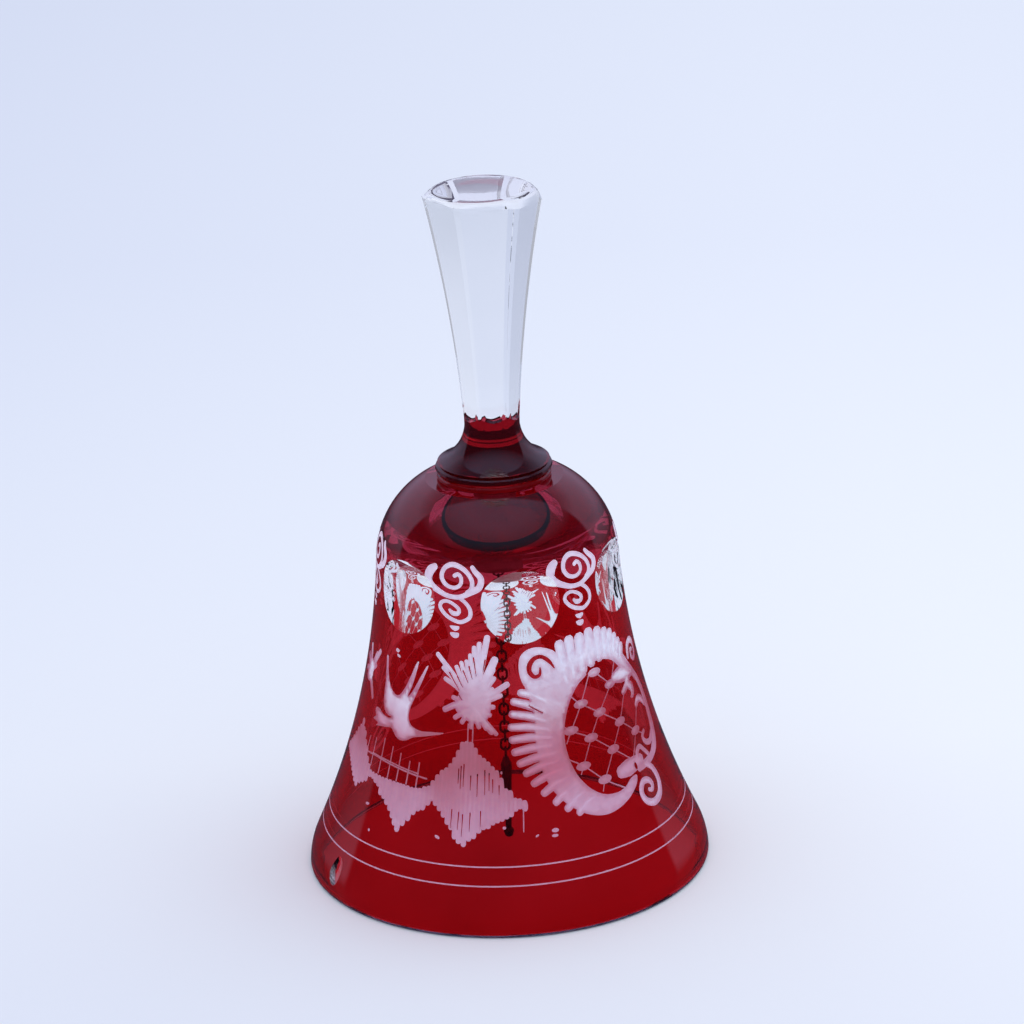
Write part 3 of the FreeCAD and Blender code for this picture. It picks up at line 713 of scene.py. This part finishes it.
def build_cup(slots):
    """Closed cup: rim, decorated band, shoulder, crown, then down the inner skin."""
    shell = Shell()
    decorated_skin(shell)
    # outer skin under and over the decorated band
    lip_round = (outer_radius(RIM_ROUND) - RIM_ROUND, RIM_ROUND)
    rim = arc_rows(lip_round, RIM_ROUND, -90, 0, 5)
    band_start = [(outer_radius(z), z, *outer_normal(z)) for z in (1.1, BAND_LOW)]
    lathe(shell, rim, "lip")
    lathe(shell, rim[-1:] + band_start, "skin")
    band_end = angle_of((outer_radius(BAND_HIGH), BAND_HIGH), SHOULDER)
    crown_angle = math.degrees(math.asin((CROWN - SHOULDER[1]) / SHOULDER_ARC))
    shoulder = arc_rows(SHOULDER, SHOULDER_ARC, band_end, crown_angle, 12)
    lathe(shell, shoulder, "skin")
    crown_radius = shoulder[-1][0]
    lathe(shell, [(crown_radius, CROWN, 0, 1), (BOND, CROWN, 0, 1)], "skin")
    lathe(shell, [(BOND, CROWN, 0, 1), (4, CROWN, 0, 1), (0, CROWN, 0, 1)], "bond")
    # inner skin, from the apex of the dome down to the rim
    dome_centre = (0.0, CAVITY_TOP - DOME_ARC)
    reach, drop = FLARE_ARC + WALL + DOME_CORNER, DOME_ARC - DOME_CORNER
    apart = math.hypot(FLARE[0], FLARE[1] - dome_centre[1])
    lean = math.atan2(FLARE[1] - dome_centre[1], FLARE[0])
    swing = math.acos((drop**2 + apart**2 - reach**2) / (2 * drop * apart))
    corner = (drop * math.cos(lean + swing), dome_centre[1] + drop * math.sin(lean + swing))
    dome_end = math.degrees(lean + swing)
    flare_end = math.degrees(math.atan2(corner[1] - FLARE[1], corner[0] - FLARE[0])) % 360
    lip_turn = math.degrees(math.asin(LIP_TOP / LIP_ARC))
    inner = arc_rows(dome_centre, DOME_ARC, 90, dome_end, 12, -1)
    inner += arc_rows(corner, DOME_CORNER, dome_end, flare_end - 180, 8, -1)[1:]
    inner += arc_rows(FLARE, FLARE_ARC + WALL, flare_end, 180 + lip_turn, 36, 1)[1:]
    inner += arc_rows((LIP[0], 0.0), LIP_ARC - WALL, lip_turn, 4, 6, -1)[1:]
    inside_round = (LIP[0] + LIP_ARC - WALL + RIM_ROUND - 0.02, RIM_ROUND)
    inner += arc_rows(inside_round, RIM_ROUND, 180, 270, 5, 1)
    inner = [(max(r, 0.0) if i else 0.0, z, a, b) for i, (r, z, a, b) in enumerate(inner)]
    lathe(shell, inner, "inner")
    lathe(shell, [(inner[-1][0], 0, 0, -1), (rim[0][0], 0, 0, -1)], "inner")
    return shell.mesh("engraved_cup", slots)


# ------------------------ materials
class Nodes:
    """Adds nodes to a material or a world and links their sockets."""

    def __init__(self, owner):
        self.owner = owner
        owner.use_nodes = True
        self.tree = owner.node_tree
        self.tree.nodes.clear()

    def join(self, socket, value):
        """Links a socket or sets its value; three numbers are a colour."""
        if isinstance(value, bpy.types.NodeSocket):
            self.tree.links.new(value, socket)
        else:
            socket.default_value = (*value, 1) if isinstance(value, tuple) else value

    def add(self, kind, inputs=(), **settings):
        node = self.tree.nodes.new("ShaderNode" + kind)
        for key, value in settings.items():
            setattr(node, key, value)
        for key, value in dict(inputs).items():
            self.join(node.inputs[key], value)
        return node

    def out(self, kind, inputs=(), **settings):
        """First output of a new node."""
        return self.add(kind, inputs, **settings).outputs[0]

    def finish(self, shader, kind="Material"):
        self.add("Output" + kind, {"Surface": shader})
        return self.owner

    def place(self):
        return self.add("TexCoord").outputs["Object"]

    def axis(self, letter):
        return self.add("SeparateXYZ", {"Vector": self.place()}).outputs[letter]

    def span(self, value, low, high, **settings):
        """Goes from 0 to 1 as the value goes from low to high."""
        return self.out("MapRange", {"Value": value, "From Min": low, "From Max": high}, **settings)

    def ramp(self, factor, stops):
        """Colour ramp; stops are (position, colour)."""
        node = self.add("ValToRGB", {"Fac": factor})
        elements = node.color_ramp.elements
        while len(elements) < len(stops):
            elements.new(0.5)
        for element, (position, colour) in zip(elements, stops):
            element.position = position
            element.color = (*colour, 1)
        return node.outputs["Color"]

    def maths(self, operation, *values):
        return self.out("Math", enumerate(values), operation=operation)

    def noise(self, scale, detail):
        node = self.add("TexNoise", {"Vector": self.place(), "Scale": scale, "Detail": detail})
        return node.outputs["Fac"]

    def patches(self, scale, detail, *stops):
        """Colour that drifts between two tones in patches."""
        return self.ramp(self.noise(scale, detail), stops)

    def mix(self, factor, first, second):
        """Mix of two shaders."""
        return self.out("MixShader", {0: factor, 1: first, 2: second})

    def blend(self, factor, first, second, how="MIX"):
        """Mix of two colours."""
        node = self.add("Mix", {0: factor, 6: first, 7: second}, data_type="RGBA", blend_type=how)
        return node.outputs[2]

    def surface(self, colour, rough, through=0.0, ior=1.5, metal=0.0):
        """General surface; through is the share of light it lets through."""
        return self.out("BsdfPrincipled", {"Base Color": colour, "Roughness": rough, "IOR": ior,
                                           "Transmission Weight": through, "Metallic": metal})

    def glass_with_shadow(self, shader, shade):
        """Shader seen directly, and a plain tint for light that passes through to a shadow."""
        path = self.add("LightPath").outputs
        shadow = self.maths("MAXIMUM", path["Is Shadow Ray"], path["Is Diffuse Ray"])
        return self.mix(shadow, shader, self.out("BsdfTransparent", {"Color": shade}))


RUBY_SHADE = (0.62, 0.012, 0.02)
CLEAR_SHADE = (0.93, 0.93, 0.95)
MATT_SHADE = (0.55, 0.45, 0.52)
CROWN_STAIN = (0.11, 0.0004, 0.002)
# matt glass from the rim (0) to the shoulder (1), where the wheel cut deep or only grazed; the change with
# height is painted light
# deep cuts: painted light, lavender low, rose in the middle, white high up, and a painted highlight against
# the shallow tones
DEEP_CUT_PAINTED_LIGHT_TONES = [
    (0.0, (0.50, 0.56, 0.70)), (0.14, (0.42, 0.42, 0.56)), (0.26, (0.34, 0.12, 0.20)),
    (0.36, (0.38, 0.26, 0.36)), (0.47, (0.56, 0.70, 0.78)), (0.6, (0.60, 0.80, 0.88)),
    (1.0, (0.60, 0.82, 0.90)),
]
# shallow cuts: darker, painted shade on the relief, partly the ruby stain that the wheel only grazed
SHALLOW_CUT_PAINTED_SHADE_TONES = [
    (0.0, (0.36, 0.38, 0.52)), (0.14, (0.28, 0.20, 0.30)), (0.26, (0.12, 0.01, 0.03)),
    (0.42, (0.14, 0.02, 0.05)), (0.5, (0.22, 0.08, 0.16)), (0.6, (0.52, 0.60, 0.70)),
    (1.0, (0.62, 0.70, 0.80)),
]


def new_look(name):
    return Nodes(bpy.data.materials.new(name))


def ruby_glass():
    """Stained skin of the cup: colour sits in a thin layer, a little uneven, darker on the crown."""
    n = new_look("ruby_stain")
    patch = n.patches(38, 2, (0.32, (0.25, 0.0002, 0.0004)), (0.68, (0.34, 0.0004, 0.0009)))
    stain = n.blend(n.span(n.axis("Z"), 0.064, 0.075), patch, CROWN_STAIN)
    return n.finish(n.glass_with_shadow(n.surface(stain, 0.0, 1.0), RUBY_SHADE))


def clear_glass(name="clear_glass", tint=(0.97, 0.975, 0.985)):
    n = new_look(name)
    streak = n.patches(120, 2, (0.35, tint), (0.7, (0.99, 0.99, 1.0)))
    return n.finish(n.glass_with_shadow(n.surface(streak, 0.0, 1.0), CLEAR_SHADE))


def engraved_glass():
    """Ground matt glass with painted light: white and lavender high up, rose lower where light through the
    far side's ruby would show, and brighter where cut deep as a painted highlight.
    """
    n = new_look("engraved_matt_glass")
    wobble = n.maths("MULTIPLY_ADD", n.noise(90, 3), 0.16, -0.08)
    # height drives the painted light
    level = n.maths("ADD", n.span(n.axis("Z"), 0.015, 0.078), wobble)
    deep = n.ramp(level, DEEP_CUT_PAINTED_LIGHT_TONES)
    shallow = n.ramp(level, SHALLOW_CUT_PAINTED_SHADE_TONES)
    relief = n.add("Attribute", attribute_name="cut_depth").outputs["Fac"]
    relief = n.maths("ADD", relief, n.maths("MULTIPLY_ADD", n.noise(260, 3), 0.5, -0.25))
    # deep cuts take the brighter tones and shallow ones the darker: painted highlight and painted shade on
    # the relief
    colour = n.blend(n.span(relief, 0.55, 1.35), shallow, deep)
    light = n.patches(900, 4, (0.3, (0.74, 0.72, 0.78)), (0.7, (1.0, 1.0, 1.0)))
    tone = n.blend(1.0, colour, light, "MULTIPLY")
    matt = n.out("BsdfDiffuse", {"Color": tone, "Roughness": 0.6})
    milky = n.out("BsdfTranslucent", {"Color": (0.74, 0.88, 0.94)})
    body = n.out("AddShader", {0: matt, 1: milky})
    clear = n.surface(tone, 0.42, 1.0)
    return n.finish(n.glass_with_shadow(n.mix(0.12, body, clear), MATT_SHADE))


def chipped_glass():
    n = new_look("chipped_glass")
    tone = n.patches(300, 3, (0.3, (0.95, 0.72, 0.78)), (0.7, (1.0, 0.92, 0.94)))
    return n.finish(n.glass_with_shadow(n.surface(tone, 0.12, 1.0), CLEAR_SHADE))


def neck_glass():
    """Ruby stain of the handle's collar and neck, with a little haze in it."""
    n = new_look("neck_ruby")
    tone = n.patches(150, 2, (0.3, (0.22, 0.002, 0.005)), (0.7, (0.34, 0.004, 0.008)))
    haze = n.out("BsdfTranslucent", {"Color": (0.34, 0.02, 0.04)})
    glow = n.out("BsdfDiffuse", {"Color": (0.16, 0.015, 0.03)})
    body = n.mix(0.1, n.surface(tone, 0.0, 1.0), n.mix(0.5, haze, glow))
    return n.finish(n.glass_with_shadow(body, RUBY_SHADE))


def plain_look(name, patches, *surface):
    """Surface whose colour drifts between two tones."""
    n = new_look(name)
    return n.finish(n.surface(n.patches(*patches), *surface))


def metal_look(name, dark, light, rough, scale):
    """Dull metal with darker tarnish in patches."""
    n = new_look(name)
    patch = n.noise(scale, 5)
    roughness = n.maths("MULTIPLY_ADD", patch, 0.3, rough)
    return n.finish(n.surface(n.ramp(patch, [(0.35, dark), (0.7, light)]), roughness, metal=0.85))


# ------------------------ the clear handle
GRIP_SECTIONS = (96.0, 5.75), (120.0, 8.15), (143.6, 12.3)  # (height, ridge radius)
RIDGE_AT = 34.0  # degrees to the first of the six ridges
RIDGE_SOFT = 0.03
RIDGE_TURN = 30 - math.degrees(math.acos(math.cos(math.radians(30)) / (1 - RIDGE_SOFT)))
GIRDLE, GIRDLE_TILT, GIRDLE_TURN = 143.5, 1.3, 40
CAP_RADIUS, CAP_FLAT = 11.7, 8.6
CHIPS = {-86: 0.5, -26: 0.5, 20: 0.35, 94: 0.3}  # degrees to a nick in the rim, and its depth
SCALLOP_RIDGE, SCALLOP_FACET, SCALLOP_LIP = 98.6, 97.6, 0.45
COLLAR = [(0, 11.0), (0.25, 11.5), (0.6, 11.85), (1.0, 12.0), (1.4, 11.85), (1.75, 11.4)]
COLLAR_TOP = (87.9, 10.8)
NECK_RADIUS, NECK_TOP, NECK_ARC = 5.6, 96.6, 9.0
NECK_ROWS = (88.15, 88.6, 89.3, 90.2, 91.2, 92.3, 93.4, 94.5, 95.3, 95.8)
GRIP_ROWS = np.linspace(100.2, 140, 70)
CAP_ROWS = (28, 42, 55, 67, 78, 90)  # degrees up the bevel; the first is its foot
SHARP_DEGREES = 22


def grip_corner(z):
    """Radius of the grip's ridges: a parabola through its three sections."""
    (z0, r0), (z1, r1), (z2, r2) = GRIP_SECTIONS
    a = r0 * (z - z1) * (z - z2) / ((z0 - z1) * (z0 - z2))
    b = r1 * (z - z0) * (z - z2) / ((z1 - z0) * (z1 - z2))
    c = r2 * (z - z0) * (z - z1) / ((z2 - z0) * (z2 - z1))
    return a + b + c


def girdle_height(theta):
    """Height of the rim where the facets end; it tilts across the top."""
    return GIRDLE + GIRDLE_TILT * math.cos(math.radians(theta + GIRDLE_TURN))


def from_ridge(theta):
    """Degrees to the nearest ridge, 0 to 30."""
    return abs((theta - RIDGE_AT + 30) % 60 - 30)


def hexagon(theta, corner):
    """Radius of a hexagon whose ridges are rounded a little."""
    flat = corner * math.cos(math.radians(30)) / math.cos(math.radians(30 - from_ridge(theta)))
    return min(flat, corner * (1 - RIDGE_SOFT))


def neck_radius(z):
    """Concave neck from the collar's top to the foot of the grip."""
    return NECK_RADIUS + NECK_ARC - math.sqrt(max(NECK_ARC**2 - (NECK_TOP - z) ** 2, 0))


def cap_row(columns, rise):
    """One row of the bevelled top, rise degrees up from the girdle's level."""
    up, out = math.sin(math.radians(rise)), math.cos(math.radians(rise))
    start = math.sin(math.radians(CAP_ROWS[0]))
    blend = (up - start) / (1 - start)
    row = []
    for t in columns:
        low = girdle_height(t)
        chip = CHIPS.get(round((t + 180) % 360 - 180), 0) * (1 - blend)
        wide = hexagon(t, grip_corner(low) + 0.1) * (1 - blend) + CAP_RADIUS * blend
        radius = CAP_FLAT + (wide - CAP_FLAT) * min(out / 0.88, 1) ** 0.6 - chip
        row.append((radius, low + (GRIP_TOP - low) * blend))
    return row


def build_handle(slots):
    """Collar, scalloped ruby neck and six-sided grip with softened ridges and a bevelled top."""
    steps = [*range(-30, -5, 4), -RIDGE_TURN, 0, RIDGE_TURN, *range(6, 27, 4)]
    columns = [RIDGE_AT + 60 * ridge + step for ridge in range(6) for step in steps]
    count = len(columns)
    collar = [(DISC_TOP + up, r) for up, r in COLLAR] + [COLLAR_TOP]
    neck = [(z, neck_radius(z)) for z in NECK_ROWS]
    rows = [[(r, z)] * count for z, r in [(DISC_TOP, 0.0)] + collar + neck]
    # the facets begin at a scalloped edge
    edge, lip = [], []
    for theta in columns:
        rise = 1 - from_ridge(theta) / 30
        z = SCALLOP_FACET + (SCALLOP_RIDGE - SCALLOP_FACET) * rise**1.5
        z -= 0.8 * (1 - math.cos(math.radians(theta)))
        edge.append((NECK_RADIUS - 0.05 + 0.12 * rise, z))
        lip.append((hexagon(theta, grip_corner(z + SCALLOP_LIP)), z + SCALLOP_LIP))
    rows += [edge, lip]
    neck_faces = (len(rows) - 2) * count
    for z in GRIP_ROWS:
        rows.append([(hexagon(t, grip_corner(z)), z) for t in columns])
    for back in (0.55, 0.05):
        heights = [girdle_height(t) - back for t in columns]
        rows.append([(hexagon(t, grip_corner(z)), z) for t, z in zip(columns, heights)])
    rows += [cap_row(columns, rise) for rise in CAP_ROWS]
    rows += [[(radius, GRIP_TOP - 0.02)] * count for radius in (5.5, 4.0, 2.0)]
    rows.append([(0.0, GRIP_TOP)] * count)

    points = [turned(theta, *np.float64(spot)) for row in rows for theta, spot in zip(columns, row)]
    faces = quads(len(rows), count)
    kinds = ["neck"] * neck_faces + ["grip"] * (len(faces) - neck_faces)
    return new_mesh("cut_handle", points, faces, kinds, slots)


def weld_and_shade(data, sharp_degrees):
    """Welds the axis points and keeps edges sharper than the limit crisp."""
    work = bmesh.new()
    work.from_mesh(data)
    bmesh.ops.remove_doubles(work, verts=work.verts, dist=1e-6)
    bmesh.ops.dissolve_degenerate(work, edges=work.edges, dist=1e-7)
    limit = math.radians(sharp_degrees)
    for face in work.faces:
        face.smooth = True
    for edge in work.edges:
        edge.smooth = len(edge.link_faces) != 2 or edge.calc_face_angle(0) < limit
    work.to_mesh(data)
    work.free()


# ------------------------ objects
def piece(name, data, replaced):
    thing = bpy.data.objects.new(name, data)
    bpy.context.scene.collection.objects.link(thing)
    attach(thing, "bell")
    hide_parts(replaced)
    return thing


CLEAR = clear_glass()
INNER = clear_glass("inner_skin_glass", (0.985, 0.985, 0.99))
RUBY = ruby_glass()
# (noise scale, detail, two stops), then roughness, share of light let through and index
# painted shade: the dark navy lip is a painted line standing in for the rim's refraction
LIP_PAINTED_SHADE = plain_look("painted_shade_lip", (200, 2, (.3, (.012, .014, .04)), (.7, (.05, .03, .07))), .1, .5)
BOND_LAYER = plain_look("crown_bond", (240, 4, (.35, (.80, .42, .40)), (.7, (.98, .66, .62))), .3)
CEMENT = plain_look("clear_cement", (700, 4, (.35, (.62, .60, .56)), (.65, (.80, .79, .76))), .35, .6, 1.45)
cup_slots = {"skin": RUBY, "inner": INNER, "window": INNER, "ruby": RUBY, "frost": engraved_glass(),
             "chip": chipped_glass(), "lip": LIP_PAINTED_SHADE, "bond": BOND_LAYER}
piece("engraved_cup", build_cup(cup_slots), "bell_cup")

handle_data = build_handle({"grip": CLEAR, "neck": neck_glass()})
weld_and_shade(handle_data, SHARP_DEGREES)
piece("cut_handle", handle_data, "handle")

WIRE = metal_look("tarnished_wire", (0.045, 0.037, 0.03), (0.22, 0.19, 0.16), 0.3, 900)
TURNED = metal_look("turned_clapper", (0.05, 0.045, 0.04), (0.26, 0.24, 0.22), 0.28, 260)
LOOKS = {"stem_disc": neck_glass(), "cement_bead": CEMENT, "clapper": TURNED, "clapper_eye": TURNED}
for node in frame["nodes"]:
    name = node if isinstance(node, str) else node["name"]
    if name in ("bell_cup", "handle"):
        continue
    look = LOOKS.get(name, WIRE)
    thing = bpy.data.objects[name]
    if not thing.material_slots:
        thing.data.materials.append(look)
    for place in thing.material_slots:
        place.material = look


# ------------------------ room
BACKDROP = (0.83, 0.87, 0.975)
SEEN_THROUGH = 0.4  # how much of the dark room shows through glass
SHEEN = [(0.18, (0.06, 0.05, 0.08)), (0.38, (0.50, 0.47, 0.72)), (0.66, (0.66, 0.62, 0.95)),
         (0.86, (0.16, 0.13, 0.24))]
# painted shade and painted light on the paper: its dim and bright tones
PAPER_PAINTED_SHADE, PAPER_PAINTED_LIGHT = (0.80, 0.83, 0.90), (0.885, 0.91, 0.945)
PAPER_REACH = 4.0


def floor():
    """Wide sheet of pale paper with painted light: brightest just behind the bell and to the right, with
    painted shade to the left and towards the ends; unseen in mirrored light.
    """
    n = new_look("pale_paper")
    stops = [(0.1, PAPER_PAINTED_SHADE), (0.36, PAPER_PAINTED_LIGHT), (0.9, PAPER_PAINTED_SHADE)]
    # painted light: brightest just behind the bell, dimmer in front and far behind
    along = n.ramp(n.span(n.axis("Y"), -0.2, 0.5), stops)
    # painted shade: darker to the left of the bell
    across = n.ramp(n.span(n.axis("X"), -0.2, 0.1), [(0.0, (0.90, 0.91, 0.95)), (1.0, (1.0, 1.0, 1.0))])
    paper = n.blend(1.0, along, across, "MULTIPLY")
    tone = n.blend(n.maths("MULTIPLY", n.noise(300, 2), 0.03), paper, (0.7, 0.73, 0.8))
    look = n.finish(n.out("BsdfDiffuse", {"Color": tone}))
    wide, low = PAPER_REACH, CAD_BOX[0][2]
    corners = [(-wide, -wide, low), (wide, -wide, low), (wide, wide, low), (-wide, wide, low)]
    data = bpy.data.meshes.new("paper")
    data.from_pydata(corners, [], [(0, 1, 2, 3)])
    data.materials.append(look)
    sheet = bpy.data.objects.new("paper", data)
    sheet.visible_glossy = False
    bpy.context.scene.collection.objects.link(sheet)
    sheet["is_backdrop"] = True


def key_light():
    """Weak square lamp high on the right."""
    data = bpy.data.lights.new("key", "AREA")
    data.shape = "RECTANGLE"
    data.size, data.size_y, data.energy = 1.2, 1.2, 3
    data.color = (1.0, 0.98, 0.96)
    thing = bpy.data.objects.new("key", data)
    thing.location = (0.5, 0.1, 1.1)
    thing.rotation_euler = (Vector((0, 0, 0.06)) - thing.location).to_track_quat("-Z", "Y").to_euler()
    thing.visible_glossy = False
    bpy.context.scene.collection.objects.link(thing)
    thing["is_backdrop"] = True


def world():
    """Even bluish white light; mirrored rays see a dark room in front and light at the back."""
    scene = bpy.context.scene
    scene.world = bpy.data.worlds.new("studio")
    n = Nodes(scene.world)
    path = n.add("LightPath").outputs
    axes = n.add("SeparateXYZ", {"Vector": n.add("TexCoord").outputs["Generated"]}).outputs
    behind = n.span(axes["Y"], 0.25, 0.32, interpolation_type="SMOOTHSTEP")
    ceiling = n.ramp(axes["Z"], [(0.55, (0.03, 0.03, 0.06)), (0.93, (0.62, 0.60, 1.0))])
    dark = n.out("Background", {"Color": ceiling})
    light = n.out("Background", {"Color": BACKDROP})
    sheen = n.out("Background", {"Color": n.ramp(n.span(axes["Z"], -0.4, 1.0), SHEEN)})
    mirrored = n.maths("MULTIPLY", path["Is Glossy Ray"], path["Is Reflection Ray"])
    bent = n.maths("MULTIPLY_ADD", path["Is Transmission Ray"], SEEN_THROUGH, mirrored)
    room = n.mix(behind, dark, n.mix(mirrored, light, sheen))
    n.finish(n.mix(bent, light, room), "World")


def camera():
    """Long lens, a little above the bell, rolled so that the bell leans."""
    aim = Vector((0, 0, 0.070))
    far, rise, roll = 0.900, math.radians(21.03), math.radians(2.38)
    data = bpy.data.cameras.new("view")
    data.lens, data.sensor_width = 154.0, 36.0
    data.shift_x, data.shift_y = 0.0147, 0.0288
    data.clip_start = 0.01
    thing = bpy.data.objects.new("view", data)
    thing.location = aim + far * Vector((0, -math.cos(rise), math.sin(rise)))
    turn = (aim - thing.location).to_track_quat("-Z", "Y").to_matrix().to_4x4()
    thing.rotation_euler = (turn @ Matrix.Rotation(-roll, 4, "Z")).to_euler()
    bpy.context.scene.collection.objects.link(thing)
    bpy.context.scene.camera = thing


floor()
world()
key_light()
camera()

scene = bpy.context.scene
scene.view_settings.view_transform = "Standard"
scene.cycles.caustics_refractive = False
scene.cycles.caustics_reflective = False
scene.cycles.max_bounces = 28
scene.cycles.transmission_bounces = 24
scene.cycles.glossy_bounces = 10
scene.cycles.transparent_max_bounces = 24
scene.cycles.use_denoising = True

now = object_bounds()
plain = lambda box: [[float(v) for v in corner] for corner in box]
{"cad": plain(CAD_BOX), "visual": plain(now)}
